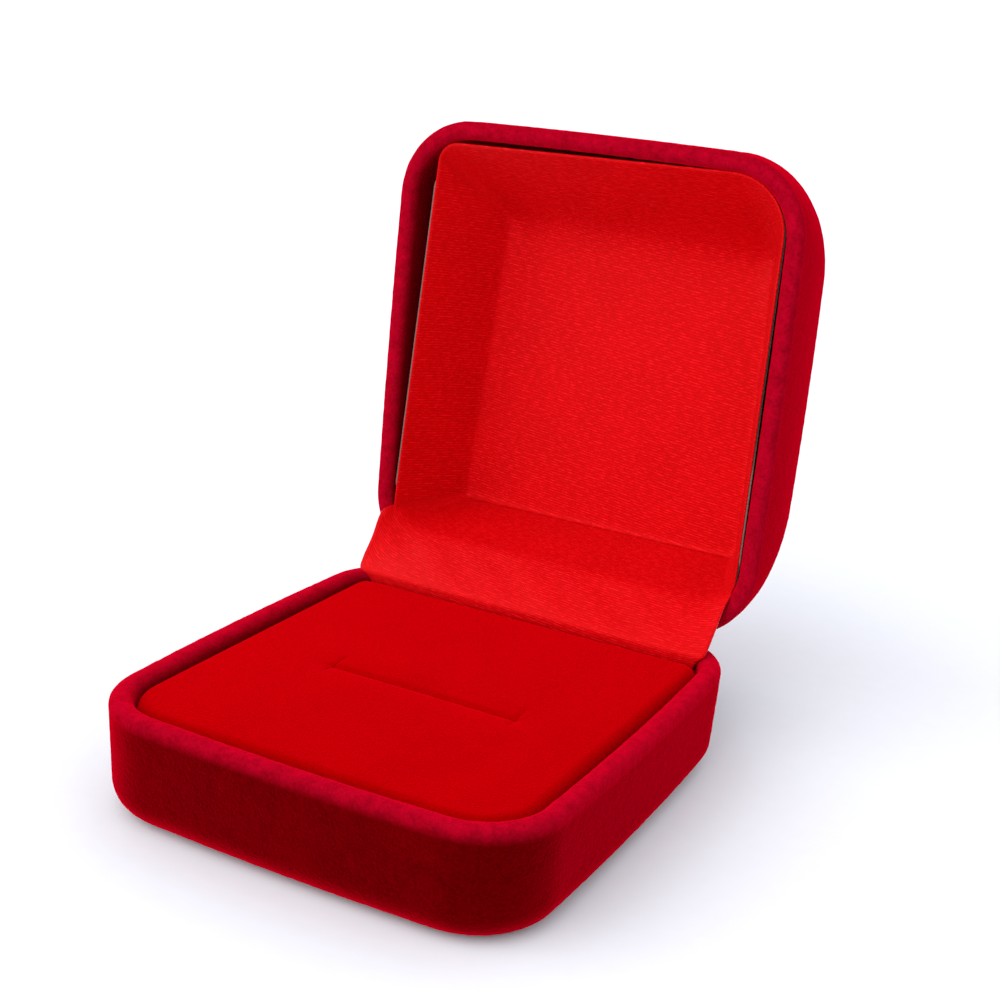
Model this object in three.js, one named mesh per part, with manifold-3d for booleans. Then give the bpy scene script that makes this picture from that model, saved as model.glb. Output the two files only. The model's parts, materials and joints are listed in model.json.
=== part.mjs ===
// A hinged ring box, shown open. Millimetres, +Z up, +Y towards the hinge, origin under the base's centre.
// The lid's pieces are described closed, and one group then swings them open about the hinge pin.
import * as THREE from 'three';
import { mergeVertices } from 'three/addons/utils/BufferGeometryUtils.js';
import Module from 'manifold-3d';

const wasm = await Module();
wasm.setup();

// Outside of the box
const WIDTH = 55;
const DEPTH = 60;
const CORNER = 9.9; // plan corner radius at the rims
const RIM_ROUND = 1.1; // rounding on both edges of each rim
const RIM_GAP = 0.3; // between the closed rims

// Base shell
const BASE_HEIGHT = 13.2;
const BASE_WALL = 2.7;
const BASE_BOW = 0.4; // how far the front and sides swell at their middle
const BASE_FLOOR = 2;
const FOOT_ROUND = 3.5;
const FOOT_TAPER = 0.4; // how far the foot draws in below the rim
const INNER_FILLET = 1.5;

// Lid shell, a dome whose sides curve in along a superellipse
const LID_HEIGHT = 20.4;
const LID_WALL = 2.3;
const LID_BOW = 0.15;
const LID_TOP = 2;
const CROWN_INSET = 4.9;
const CROWN_POWER = 2.35;
const CROWN_CORNER = 5.4; // first growth of the corner radius for each millimetre of inset
const CROWN_CORNER_GAIN = 5.1; // most that the corner radius grows
const OPEN_ANGLE = 93;

// Ring pad: a velvet cover over foam, on a card
const PAD_SIDE_GAP = 0.3;
const PAD_DROP = 0.6; // pad's top below the rim
const PAD_BACK = 23.2;
const PAD_BACK_CORNER = 2.2;
const SMALLEST_CORNER = 0.5;
const PAD_ROLL = 1.4; // rounding of the pad's top edge
const PAD_BOTTOM = 3.6;
const COVER_THICK = 0.4;
const CARD_THICK = 0.9;
const CARD_BACK_CORNER = 3.2;
const SLIT_WIDTH = 0.6;
const SLIT_HALF = 12;
const SLIT_X = 1.1;
const SLIT_Y = -4.1;
const SLIT_END_Y = -3.7;
const SLIT_END_HALF = 2.1;
const SLIT_DEPTH = 7;

// Lid lining: satin on a card tray. Its floor is set over, as a card pushed in by hand sits.
const LINING_EDGE = 0.7; // tray's edge above the lid's rim plane
const LINING_DEPTH = 12.5;
const LINING_THICK = 0.3;
const TRAY_THICK = 0.5;
const LINING_RIM = { left: -21.3, right: 23.8, front: -26.2, back: 24.9, backLean: -2.4 };
const LINING_FLOOR = { left: -16.7, right: 20.6, front: -17.6, back: 22, backLean: -3.1 };

// Hinge
const PIN_Y = 29.5;
const PIN_Z = BASE_HEIGHT + RIM_GAP / 2;
const PIN_RADIUS = 0.35;
const KNUCKLE_BORE = 0.4;
const KNUCKLE_RADIUS = 0.8;
const HINGE_HALF = 12;
const KNUCKLE_SPLIT = 6; // lid knuckle inside this, base knuckles outside
const LEAF_THICK = 0.4;
const LEAF_REACH = 7.5; // down or up the wall from the pin
const TAB_OFFSET = 0.6; // tab's near face from the pin's axis
const BASE_LEAF_Y = 26.6;
const LID_LEAF_Y = 26.7;
const RIVET_X = 8.5;
const RIVET_REACH = 5; // rivet's centre from the pin's axis
const RIVET_RADIUS = 0.6;
const RIVET_HEAD_RADIUS = 1.3;
const RIVET_HEAD = 0.5;
const RIVET_HEAD_FLAT = 0.9; // radius of the head's flat top
const RIVET_LENGTH = 1.8;

// Snap spring and hinge flap
const SPRING_HALF = 3;
const SPRING_THICK = 0.3;
const FLAP_HALF = 22.8;
const FLAP_THICK = 0.3;

const CLEAR = 0.3; // gap kept between neighbouring pieces
const CUT_PAST = 1; // how far a cutting body runs past the face that it opens
const MERGE_WITHIN = 1e-5; // points nearer than this are one point
const CORNER_STEPS = 8;
const SIDE_STEPS = 4;
const ARC_STEPS = 5;
const FILLET_STEPS = 2;
const CROWN_STEPS = 9;
const ROUND_STEPS = 20;
const STEPS_PER_SPAN = 6; // along a bent strip

const radians = (degrees) => THREE.MathUtils.degToRad(degrees);

const LOOKS = {
  flock: { color: 0x8c0a12, roughness: 0.95, metalness: 0 },
  padFlock: { color: 0xb40a14, roughness: 0.95, metalness: 0 },
  satin: { color: 0xd80f18, roughness: 0.4, metalness: 0 },
  card: { color: 0xb9b4aa, roughness: 0.9, metalness: 0 },
  foam: { color: 0xe8e4d8, roughness: 0.95, metalness: 0 },
  steel: { color: 0xb8b9bb, roughness: 0.35, metalness: 1 },
};

function part(name, geometry, look) {
  const mesh = new THREE.Mesh(geometry, new THREE.MeshStandardMaterial(LOOKS[look]));
  mesh.name = name;
  return mesh;
}

// ---- solids ----

function toSolid(geometry) {
  const bare = geometry.index ? geometry.toNonIndexed() : geometry.clone();
  bare.deleteAttribute('normal');
  bare.deleteAttribute('uv');
  const merged = mergeVertices(bare, MERGE_WITHIN);
  const mesh = new wasm.Mesh({
    numProp: 3,
    vertProperties: new Float32Array(merged.attributes.position.array),
    triVerts: new Uint32Array(merged.index.array),
  });
  return new wasm.Manifold(mesh);
}

function toGeometry(solid) {
  const mesh = solid.getMesh();
  const geometry = new THREE.BufferGeometry();
  geometry.setAttribute('position', new THREE.BufferAttribute(mesh.vertProperties, 3));
  geometry.setIndex(new THREE.BufferAttribute(mesh.triVerts, 1));
  geometry.computeVertexNormals();
  return geometry;
}

function block(low, high) {
  const size = high.map((value, axis) => value - low[axis]);
  const middle = high.map((value, axis) => (value + low[axis]) / 2);
  return toSolid(new THREE.BoxGeometry(...size).translate(...middle));
}

function rodAlongX(radius, fromX, toX) {
  const rod = new THREE.CylinderGeometry(radius, radius, toX - fromX, ROUND_STEPS);
  rod.rotateZ(Math.PI / 2).translate((fromX + toX) / 2, PIN_Y, PIN_Z);
  return toSolid(rod);
}

// Skins equal rings of points into one closed body, with a flat cap on the first and last ring.
function loft(rings) {
  const count = rings[0].length;
  const positions = rings.flat(2);
  const index = [];
  for (let ring = 0; ring + 1 < rings.length; ring += 1) {
    for (let i = 0; i < count; i += 1) {
      const a = ring * count + i;
      const b = ring * count + ((i + 1) % count);
      index.push(a, b, b + count, a, b + count, a + count);
    }
  }
  const last = (rings.length - 1) * count;
  for (let i = 1; i + 1 < count; i += 1) {
    index.push(0, i + 1, i);
    index.push(last, last + i, last + i + 1);
  }
  const geometry = new THREE.BufferGeometry();
  geometry.setAttribute('position', new THREE.Float32BufferAttribute(positions, 3));
  geometry.setIndex(index);
  geometry.computeVertexNormals();
  return geometry;
}

// ---- outlines ----

// A rectangle with rounded corners, counter-clockwise from the right back corner.
// Its front and sides may swell outward by a bow. The hinge side stays straight.
function outline({ left, right, front, back, frontCorner, backCorner }, z, bow = 0) {
  const corners = [
    [right - backCorner, back - backCorner, backCorner, 0],
    [left + backCorner, back - backCorner, backCorner, 90],
    [left + frontCorner, front + frontCorner, frontCorner, 180],
    [right - frontCorner, front + frontCorner, frontCorner, 270],
  ];
  const arcs = corners.map(([x, y, radius, start]) =>
    Array.from({ length: CORNER_STEPS + 1 }, (_, i) => {
      const angle = radians(start + (90 * i) / CORNER_STEPS);
      return [x + radius * Math.cos(angle), y + radius * Math.sin(angle), z];
    }),
  );
  const outward = [
    [0, 0],
    [-bow, 0],
    [0, -bow],
    [bow, 0],
  ];
  return arcs.flatMap((arc, side) => {
    const from = arc[CORNER_STEPS];
    const to = arcs[(side + 1) % arcs.length][0];
    const points = [...arc];
    for (let i = 1; i < SIDE_STEPS; i += 1) {
      const along = i / SIDE_STEPS;
      const swell = 4 * along * (1 - along);
      const x = from[0] + (to[0] - from[0]) * along + outward[side][0] * swell;
      const y = from[1] + (to[1] - from[1]) * along + outward[side][1] * swell;
      points.push([x, y, z]);
    }
    return points;
  });
}

// The box's own outline drawn in by an inset, with a given corner radius.
function boxOutline(inset, corner, z, bow) {
  const halfWidth = WIDTH / 2 - inset;
  const halfDepth = DEPTH / 2 - inset;
  const sides = { left: -halfWidth, right: halfWidth, front: -halfDepth, back: halfDepth };
  return outline({ ...sides, frontCorner: corner, backCorner: corner }, z, bow);
}

// Rounded rim between a wall's outer and inner faces: [inset, height below the rim's top] pairs.
function rimProfile(wall) {
  const outer = [];
  for (let i = 0; i <= ARC_STEPS; i += 1) {
    const angle = radians((90 * i) / ARC_STEPS);
    outer.push([RIM_ROUND * (1 - Math.cos(angle)), RIM_ROUND * (1 - Math.sin(angle))]);
  }
  const inner = outer.map(([inset, drop]) => [wall - inset, drop]).reverse();
  return [...outer, ...inner];
}

// ---- base shell ----

function baseShell() {
  const rings = [];
  const add = (inset, z) => {
    const drawn = inset + FOOT_TAPER * Math.max(0, 1 - z / BASE_HEIGHT);
    rings.push(boxOutline(drawn, CORNER - inset, z, BASE_BOW));
  };
  for (let i = 0; i <= ARC_STEPS; i += 1) {
    const angle = radians((90 * i) / ARC_STEPS);
    add(FOOT_ROUND * (1 - Math.sin(angle)), FOOT_ROUND * (1 - Math.cos(angle)));
  }
  for (const [inset, drop] of rimProfile(BASE_WALL)) add(inset, BASE_HEIGHT - drop);
  for (let i = 0; i <= FILLET_STEPS; i += 1) {
    const angle = radians((90 * i) / FILLET_STEPS);
    const inset = BASE_WALL + INNER_FILLET * (1 - Math.cos(angle));
    add(inset, BASE_FLOOR + INNER_FILLET * (1 - Math.sin(angle)));
  }
  return toGeometry(toSolid(loft(rings)).subtract(hingeNotch(-1, BASE_LEAF_Y)).subtract(rivetHoles(-1)));
}

// Room for the knuckles and the leaf's tab in a back wall. side is -1 for the base and 1 for the lid.
function hingeNotch(side, leafY) {
  const half = HINGE_HALF + CLEAR;
  const deep = PIN_Z + side * (TAB_OFFSET + LEAF_THICK + CLEAR);
  const mouth = PIN_Z - side * CUT_PAST;
  const low = [-half, leafY - CLEAR, Math.min(deep, mouth)];
  const high = [half, PIN_Y, Math.max(deep, mouth)];
  return block(low, high).add(rodAlongX(KNUCKLE_RADIUS + CLEAR, -half, half));
}

// ---- lid shell ----

function crown(height, full) {
  const ratio = Math.min(1, Math.max(0, height / full));
  return CROWN_INSET * (1 - (1 - ratio ** CROWN_POWER) ** (1 / CROWN_POWER));
}

function lidRing(wall, height, full) {
  const curve = crown(height, full);
  const growth = CROWN_CORNER_GAIN * (1 - Math.exp((-CROWN_CORNER * curve) / CROWN_CORNER_GAIN));
  return boxOutline(wall + curve, CORNER - wall + growth, BASE_HEIGHT + RIM_GAP + height, LID_BOW);
}

// Rings up one face of the dome, closer together towards the top.
function domeRings(wall, full, from) {
  const rings = [];
  const first = Math.asin(from / full);
  for (let i = 0; i <= CROWN_STEPS; i += 1) {
    const angle = first + ((Math.PI / 2 - first) * i) / CROWN_STEPS;
    rings.push(lidRing(wall, full * Math.sin(angle), full));
  }
  return rings;
}

function lidShell() {
  const outer = domeRings(0, LID_HEIGHT, 2 * RIM_ROUND).reverse();
  const rim = rimProfile(LID_WALL).map(([inset, drop]) => lidRing(inset, drop, LID_HEIGHT));
  const inner = domeRings(LID_WALL, LID_HEIGHT - LID_TOP, 2 * RIM_ROUND);
  const shell = toSolid(loft([...outer, ...rim, ...inner].reverse()));
  return toGeometry(shell.subtract(hingeNotch(1, LID_LEAF_Y)).subtract(rivetHoles(1)));
}

// Solid that fills the lid's hollow, drawn in by a clearance. It trims what is pushed into the lid.
function lidHollow(clearance) {
  const full = LID_HEIGHT - LID_TOP - clearance;
  return toSolid(loft(domeRings(LID_WALL + clearance, full, LINING_EDGE)));
}

// ---- lid lining ----

function quad({ left, right, front, back, backLean }, grow, z) {
  return [
    [right + grow, back + grow, z],
    [left + backLean - grow, back + grow, z],
    [left - grow, front - grow, z],
    [right + grow, front - grow, z],
  ];
}

// Four sloped panels and a floor, between two offsets outward from the visible face.
function trayBetween(inner, outer) {
  const rim = BASE_HEIGHT + RIM_GAP + LINING_EDGE;
  const floor = BASE_HEIGHT + RIM_GAP + LINING_DEPTH;
  const outside = loft([quad(LINING_RIM, outer, rim), quad(LINING_FLOOR, outer, floor + outer)]);
  const inside = loft([
    quad(LINING_RIM, inner, rim - CUT_PAST),
    quad(LINING_RIM, inner, rim),
    quad(LINING_FLOOR, inner, floor + inner),
  ]);
  return toSolid(outside).subtract(toSolid(inside)).intersect(lidHollow(CLEAR));
}

const liningSatin = () => toGeometry(trayBetween(0, LINING_THICK));

function liningCard() {
  const inner = LINING_THICK + CLEAR;
  return toGeometry(trayBetween(inner, inner + TRAY_THICK));
}

// ---- ring pad ----

// The pad's block, drawn in by shrink. Its sides lean in with the base's walls.
function padBody(shrink, bottom) {
  const side = BASE_WALL + PAD_SIDE_GAP;
  const top = BASE_HEIGHT - PAD_DROP - shrink;
  const ring = (inset, z) => {
    const lean = FOOT_TAPER * (1 - z / BASE_HEIGHT);
    const half = WIDTH / 2 - side - shrink - inset - lean;
    const sides = { left: -half, right: half };
    const front = -DEPTH / 2 + side + shrink + inset + lean;
    const back = PAD_BACK - shrink - inset;
    const frontCorner = CORNER - side - shrink - inset;
    const backCorner = Math.max(PAD_BACK_CORNER - shrink - inset, SMALLEST_CORNER);
    return outline({ ...sides, front, back, frontCorner, backCorner }, z);
  };
  const rings = [ring(0, bottom)];
  for (let i = 0; i <= ARC_STEPS; i += 1) {
    const angle = radians((90 * i) / ARC_STEPS);
    rings.push(ring(PAD_ROLL * (1 - Math.cos(angle)), top - PAD_ROLL * (1 - Math.sin(angle))));
  }
  return toSolid(loft(rings));
}

// A long cut for the ring, closed by a short cross cut at each end.
function ringSlit() {
  const half = SLIT_WIDTH / 2;
  const low = BASE_HEIGHT - SLIT_DEPTH;
  const high = BASE_HEIGHT + CUT_PAST;
  const ends = [SLIT_X - SLIT_HALF, SLIT_X + SLIT_HALF];
  let slit = block([ends[0], SLIT_Y - half, low], [ends[1], SLIT_Y + half, high]);
  for (const x of ends) {
    const near = [x - half, SLIT_END_Y - SLIT_END_HALF, low];
    const far = [x + half, SLIT_END_Y + SLIT_END_HALF, high];
    slit = slit.add(block(near, far));
  }
  return slit;
}

function padCover() {
  const skin = padBody(0, PAD_BOTTOM).subtract(padBody(COVER_THICK, PAD_BOTTOM - CUT_PAST));
  return toGeometry(skin.subtract(ringSlit()));
}

function ringPad() {
  return toGeometry(padBody(COVER_THICK + CLEAR, PAD_BOTTOM).subtract(ringSlit()));
}

function padCard() {
  const side = BASE_WALL + PAD_SIDE_GAP + INNER_FILLET / 2;
  const half = WIDTH / 2 - side;
  const shape = {
    left: -half,
    right: half,
    front: -DEPTH / 2 + side,
    back: PAD_BACK,
    frontCorner: CORNER - side,
    backCorner: CARD_BACK_CORNER,
  };
  const top = PAD_BOTTOM - CLEAR;
  return loft([outline(shape, top - CARD_THICK), outline(shape, top)]);
}

// ---- hinge ----

// A sheet leaf flat on its wall, with a tab through the notch to its knuckles.
function hingeLeaf(side, leafY, spans) {
  const near = PIN_Z + side * TAB_OFFSET;
  const far = near + side * LEAF_THICK;
  const end = PIN_Z + side * LEAF_REACH;
  const plateLow = [-HINGE_HALF, leafY, Math.min(near, end)];
  const plateHigh = [HINGE_HALF, leafY + LEAF_THICK, Math.max(near, end)];
  let leaf = block(plateLow, plateHigh);
  const bore = rodAlongX(KNUCKLE_BORE, -HINGE_HALF - CUT_PAST, HINGE_HALF + CUT_PAST);
  for (const [from, to] of spans) {
    leaf = leaf.add(block([from, leafY, Math.min(near, far)], [to, PIN_Y, Math.max(near, far)]));
    leaf = leaf.add(rodAlongX(KNUCKLE_RADIUS, from, to));
  }
  return toGeometry(leaf.subtract(bore).subtract(rivetHoles(side)));
}

const baseLeaf = () =>
  hingeLeaf(-1, BASE_LEAF_Y, [
    [-HINGE_HALF, -KNUCKLE_SPLIT - CLEAR],
    [KNUCKLE_SPLIT + CLEAR, HINGE_HALF],
  ]);

const lidLeaf = () => hingeLeaf(1, LID_LEAF_Y, [[-KNUCKLE_SPLIT, KNUCKLE_SPLIT]]);

const hingePin = () => toGeometry(rodAlongX(PIN_RADIUS, -HINGE_HALF, HINGE_HALF));

const leafFace = (side) => (side < 0 ? BASE_LEAF_Y : LID_LEAF_Y);

// Clearance holes for the two rivets, through a leaf and into its wall.
function rivetHoles(side) {
  const hole = (x) => {
    const radius = RIVET_RADIUS + CLEAR;
    const deep = RIVET_LENGTH + CLEAR;
    const bore = new THREE.CylinderGeometry(radius, radius, deep + CUT_PAST, ROUND_STEPS);
    bore.translate(x, leafFace(side) + (deep - CUT_PAST) / 2, PIN_Z + side * RIVET_REACH);
    return toSolid(bore);
  };
  return hole(-RIVET_X).add(hole(RIVET_X));
}

// Head on the leaf's inner face, shank through the leaf into the wall.
function rivet(side, x) {
  const profile = [
    [0, -RIVET_HEAD - CLEAR],
    [RIVET_HEAD_FLAT, -RIVET_HEAD - CLEAR],
    [RIVET_HEAD_RADIUS, -RIVET_HEAD / 2 - CLEAR],
    [RIVET_HEAD_RADIUS, -CLEAR],
    [RIVET_RADIUS, -CLEAR],
    [RIVET_RADIUS, RIVET_LENGTH],
    [0, RIVET_LENGTH],
  ].map(([radius, along]) => new THREE.Vector2(radius, along));
  const body = toSolid(new THREE.LatheGeometry(profile, ROUND_STEPS));
  return toGeometry(body).translate(x, leafFace(side), PIN_Z + side * RIVET_REACH);
}

// ---- strips across the hinge, drawn in the open position ----

// A strip of even thickness along a smooth path of [y, z] points, straight across the box.
function strip(path, thickness, halfWidth) {
  const points = path.map(([y, z]) => new THREE.Vector3(0, y, z));
  const curve = new THREE.CatmullRomCurve3(points, false, 'centripetal');
  const steps = STEPS_PER_SPAN * (path.length - 1);
  const near = [];
  const far = [];
  for (let i = 0; i <= steps; i += 1) {
    const point = curve.getPoint(i / steps);
    const along = curve.getTangent(i / steps);
    near.push(new THREE.Vector2(point.y, point.z));
    far.push(new THREE.Vector2(point.y - along.z * thickness, point.z + along.y * thickness));
  }
  const shape = new THREE.Shape([...near, ...far.reverse()]);
  const band = new THREE.ExtrudeGeometry(shape, { depth: 2 * halfWidth, bevelEnabled: false });
  // The shape's plane is Y-Z, and its depth runs along X.
  const axes = new THREE.Matrix4().set(0, 0, 1, -halfWidth, 1, 0, 0, 0, 0, 1, 0, 0, 0, 0, 0, 1);
  return toGeometry(toSolid(band.applyMatrix4(axes)));
}

const snapSpring = () =>
  strip(
    [
      [26.2, 6.5],
      [26.2, 11.8],
      [26.8, 13.9],
      [28, 15.3],
      [29.6, 16.2],
      [30.9, 16.35],
      [36, 16.2],
    ],
    SPRING_THICK,
    SPRING_HALF,
  );

const hingeFlap = () =>
  strip(
    [
      [24, 8.2],
      [24, 11],
      [24.4, 12.7],
      [26.4, 14.7],
      [28.9, 16.7],
      [29.95, 17.4],
    ],
    FLAP_THICK,
    FLAP_HALF,
  );

// ---- assembly ----

const base = new THREE.Group();
base.add(
  part('base_shell', baseShell(), 'flock'),
  part('pad_card', padCard(), 'card'),
  part('ring_pad', ringPad(), 'foam'),
  part('pad_cover', padCover(), 'padFlock'),
  part('hinge_leaf_base', baseLeaf(), 'steel'),
  part('hinge_pin', hingePin(), 'steel'),
  part('rivet_base_left', rivet(-1, -RIVET_X), 'steel'),
  part('rivet_base_right', rivet(-1, RIVET_X), 'steel'),
  part('snap_spring', snapSpring(), 'steel'),
  part('hinge_flap', hingeFlap(), 'satin'),
);

const lid = new THREE.Group();
lid.add(
  part('lid_shell', lidShell(), 'flock'),
  part('lining_card', liningCard(), 'card'),
  part('lining_satin', liningSatin(), 'satin'),
  part('hinge_leaf_lid', lidLeaf(), 'steel'),
  part('rivet_lid_left', rivet(1, -RIVET_X), 'steel'),
  part('rivet_lid_right', rivet(1, RIVET_X), 'steel'),
);

// Swing the closed lid back about the pin.
const toPin = new THREE.Matrix4().makeTranslation(0, -PIN_Y, -PIN_Z);
const swing = new THREE.Matrix4().makeRotationX(-radians(OPEN_ANGLE));
const fromPin = new THREE.Matrix4().makeTranslation(0, PIN_Y, PIN_Z);
lid.applyMatrix4(fromPin.multiply(swing).multiply(toPin));

const ringBox = new THREE.Group();
ringBox.add(base, lid);
export default ringBox;
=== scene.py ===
"""Looks of the ring box: flocked shells, velvet ring pad, satin lid lining and the small steel hinge."""

import json
import math

import bpy
import numpy as np
from mathutils import Matrix, Vector, noise


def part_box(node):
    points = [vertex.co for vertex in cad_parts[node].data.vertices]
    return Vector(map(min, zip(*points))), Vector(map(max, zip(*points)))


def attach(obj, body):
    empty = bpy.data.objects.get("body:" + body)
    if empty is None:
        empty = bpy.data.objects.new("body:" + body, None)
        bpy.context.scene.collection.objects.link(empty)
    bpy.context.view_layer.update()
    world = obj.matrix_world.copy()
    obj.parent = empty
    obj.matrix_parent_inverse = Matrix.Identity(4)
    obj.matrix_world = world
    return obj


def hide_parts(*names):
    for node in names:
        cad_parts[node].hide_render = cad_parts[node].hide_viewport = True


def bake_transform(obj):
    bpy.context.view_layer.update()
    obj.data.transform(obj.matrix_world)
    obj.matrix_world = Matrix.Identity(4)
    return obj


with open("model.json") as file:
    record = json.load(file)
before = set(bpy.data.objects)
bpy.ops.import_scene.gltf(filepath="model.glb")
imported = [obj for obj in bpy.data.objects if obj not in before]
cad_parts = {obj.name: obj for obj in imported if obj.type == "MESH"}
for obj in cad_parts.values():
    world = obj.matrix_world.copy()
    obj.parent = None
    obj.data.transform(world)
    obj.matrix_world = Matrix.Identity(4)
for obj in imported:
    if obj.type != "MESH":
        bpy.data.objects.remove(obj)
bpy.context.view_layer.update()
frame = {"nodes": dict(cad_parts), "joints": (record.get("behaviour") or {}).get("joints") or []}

MM = 0.001

# Driving sizes in millimetres, taken from the frame where it holds them.
base_low, base_high = (np.array(corner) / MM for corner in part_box("base_shell"))
pad_low, pad_high = (np.array(corner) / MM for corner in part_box("pad_cover"))
hinge = frame["joints"][0]
PIN = np.array(hinge["pos_m"]) / MM
OPEN_ANGLE = math.radians(max(hinge["range_deg"]))

BASE_BOW = 0.4  # swell of the base's front and sides
LID_BOW = 0.15
WIDTH = base_high[0] - base_low[0] - 2 * BASE_BOW
DEPTH = 2 * base_high[1]
CORNER = 9.9
RIM_ROUND = 1.1
RIM_GAP = 0.3  # between the closed rims
BASE_HEIGHT = base_high[2]
BASE_WALL = 2.7
BASE_FLOOR = 2.0
FOOT_ROUND = 3.5
FOOT_TAPER = 0.4  # how far the foot draws in below the rim
INNER_FILLET = 1.5
LID_HEIGHT = 20.4
LID_WALL = 2.3
LID_TOP = 2.0
CROWN_INSET = 4.9
CROWN_POWER = 2.35
CROWN_CORNER = 5.4  # first growth of the corner radius for each millimetre of inset
CROWN_CORNER_GAIN = 5.1  # most that the corner radius grows
LID_RIM_Z = BASE_HEIGHT + RIM_GAP

CLEAR = 0.3  # gap kept between neighbouring pieces

# Mesh spacing
PILE = 0.4  # of the fine shell and pad meshes
CORNER_STEPS = 20
SHELL_FILL = 55  # rings that fill a shell's large flat face
HIDDEN_FILL = 6  # the same on a face that is covered
LAST_RING = 0.6  # size of a fill's last ring, in steps

# Surface of the flocked shells
PILE_DEPTH = 0.038  # scale of the bumps' height
PILE_SIZE = 1.0  # scale of the bumps across
RIM_HIGHLIGHT_REACH = 1.5  # height of the painted highlight band along each rim
RIM_HIGHLIGHT_FADE = 0.7  # power of its fading
# Strength of the painted highlight on the base's and the lid's rims: a paler band that stands in for the
# light the rounded rim catches.
BASE_RIM_HIGHLIGHT = 0.95
LID_RIM_HIGHLIGHT = 0.9


# ---------------------------------------------------------------- helpers


def opened(points):
    """Points of the closed lid, in millimetres, swung open about the hinge pin."""
    p = np.asarray(points, float) - PIN
    c, s = math.cos(OPEN_ANGLE), math.sin(OPEN_ANGLE)
    return np.stack([p[:, 0], p[:, 1] * c + p[:, 2] * s, -p[:, 1] * s + p[:, 2] * c], 1) + PIN


def make_object(name, points, faces, material, smooth=True):
    """A mesh object from points in millimetres."""
    mesh = bpy.data.meshes.new(name)
    mesh.from_pydata((np.asarray(points, float) * MM).tolist(), [], faces)
    mesh.validate()
    mesh.update()
    obj = bpy.data.objects.new(name, mesh)
    bpy.context.scene.collection.objects.link(obj)
    mesh.materials.append(material)
    if smooth:
        mesh.shade_smooth()
    return obj


def apply_modifiers(obj):
    """Bakes an object's modifiers into its mesh."""
    graph = bpy.context.evaluated_depsgraph_get()
    graph.update()
    baked = bpy.data.meshes.new_from_object(obj.evaluated_get(graph))
    old = obj.data
    obj.modifiers.clear()
    obj.data = baked
    bpy.data.meshes.remove(old)


def cut_away(obj, cutters):
    """Cuts closed helper objects out of obj and removes them."""
    for cutter in cutters:
        cut = obj.modifiers.new("cut", "BOOLEAN")
        cut.operation = "DIFFERENCE"
        cut.solver = "MANIFOLD"
        cut.object = cutter
        apply_modifiers(obj)
        bpy.data.objects.remove(cutter)
    material = obj.data.materials[0]
    obj.data.materials.clear()  # the cut's own faces take the piece's material too
    obj.data.materials.append(material)
    obj.data.polygons.foreach_set("material_index", np.zeros(len(obj.data.polygons), dtype=np.int32))


def outline(sides, front_corner, back_corner, bow=0.0, corner_steps=CORNER_STEPS, side_step=PILE):
    """Rounded rectangle, counter-clockwise from the right back corner. Front and sides may bow outward."""
    left, right, front, back = sides
    corners = [
        (right - back_corner, back - back_corner, back_corner, 0),
        (left + back_corner, back - back_corner, back_corner, 90),
        (left + front_corner, front + front_corner, front_corner, 180),
        (right - front_corner, front + front_corner, front_corner, 270),
    ]
    arcs = []
    for x, y, radius, start in corners:
        angle = np.radians(start + np.linspace(0, 90, corner_steps + 1))
        arcs.append(np.stack([x + radius * np.cos(angle), y + radius * np.sin(angle)], 1))
    outward = [(0, 0), (-bow, 0), (0, -bow), (bow, 0)]
    longest = max(WIDTH, DEPTH) - 2 * CORNER
    side_steps = int(longest / side_step)
    points = []
    for side, arc in enumerate(arcs):
        points.append(arc)
        along = np.linspace(0, 1, side_steps + 1)[1:-1, None]
        end = arcs[(side + 1) % 4][0]
        swell = 4 * along * (1 - along) * np.array(outward[side])
        points.append(arc[-1] + (end - arc[-1]) * along + swell)
    return np.concatenate(points)


def box_outline(inset, corner, bow):
    half_width, half_depth = WIDTH / 2 - inset, DEPTH / 2 - inset
    return outline((-half_width, half_width, -half_depth, half_depth), corner, corner, bow)


def with_height(flat, z):
    return np.column_stack([flat, np.full(len(flat), z)])


def shrink_to_centre(ring, steps):
    """Rings that fill a flat end, down to a small last ring."""
    centre = ring.mean(0)
    return [centre + (ring - centre) * (1 - i / (steps + LAST_RING)) for i in range(1, steps + 1)]


def skin(rings, closed_ends=True):
    """Faces over equal rings of points, with an n-gon on the first and last ring."""
    count = len(rings[0])
    faces = []
    for ring in range(len(rings) - 1):
        start = ring * count
        for i in range(count):
            j = (i + 1) % count
            faces.append((start + i, start + j, start + count + j, start + count + i))
    if closed_ends:
        last = (len(rings) - 1) * count
        faces.append(tuple(range(count - 1, -1, -1)))
        faces.append(tuple(range(last, last + count)))
    return np.concatenate(rings), faces


def roughen(obj, seed, lowest=-math.inf):
    """Moves vertices a little along their normals, so the surface looks piled. None ends below lowest."""
    mesh = obj.data
    offset = Vector((seed * 7.3, seed * 3.1, seed * 5.7))
    moved = np.empty(len(mesh.vertices) * 3)
    for i, vertex in enumerate(mesh.vertices):
        place = vertex.co / (PILE_SIZE * MM) + offset
        push = PILE_DEPTH * MM * (noise.noise(place) + 0.5 * noise.noise(place * 2.0))
        moved[3 * i : 3 * i + 3] = vertex.co + vertex.normal * push
    moved[2::3] = np.maximum(moved[2::3], lowest * MM)
    mesh.vertices.foreach_set("co", moved)
    mesh.update()


def mark_painted_rim_highlight(obj, rim_z, most):
    """Stores how near each vertex is to the rim, where a painted highlight makes the pile paler."""
    attribute = obj.data.attributes.new("rim_highlight", "FLOAT", "POINT")
    heights = np.empty(len(obj.data.vertices) * 3)
    obj.data.vertices.foreach_get("co", heights)
    near = np.clip(1 - np.abs(heights[2::3] / MM - rim_z) / RIM_HIGHLIGHT_REACH, 0, 1)
    attribute.data.foreach_set("value", most * near**RIM_HIGHLIGHT_FADE)


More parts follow.
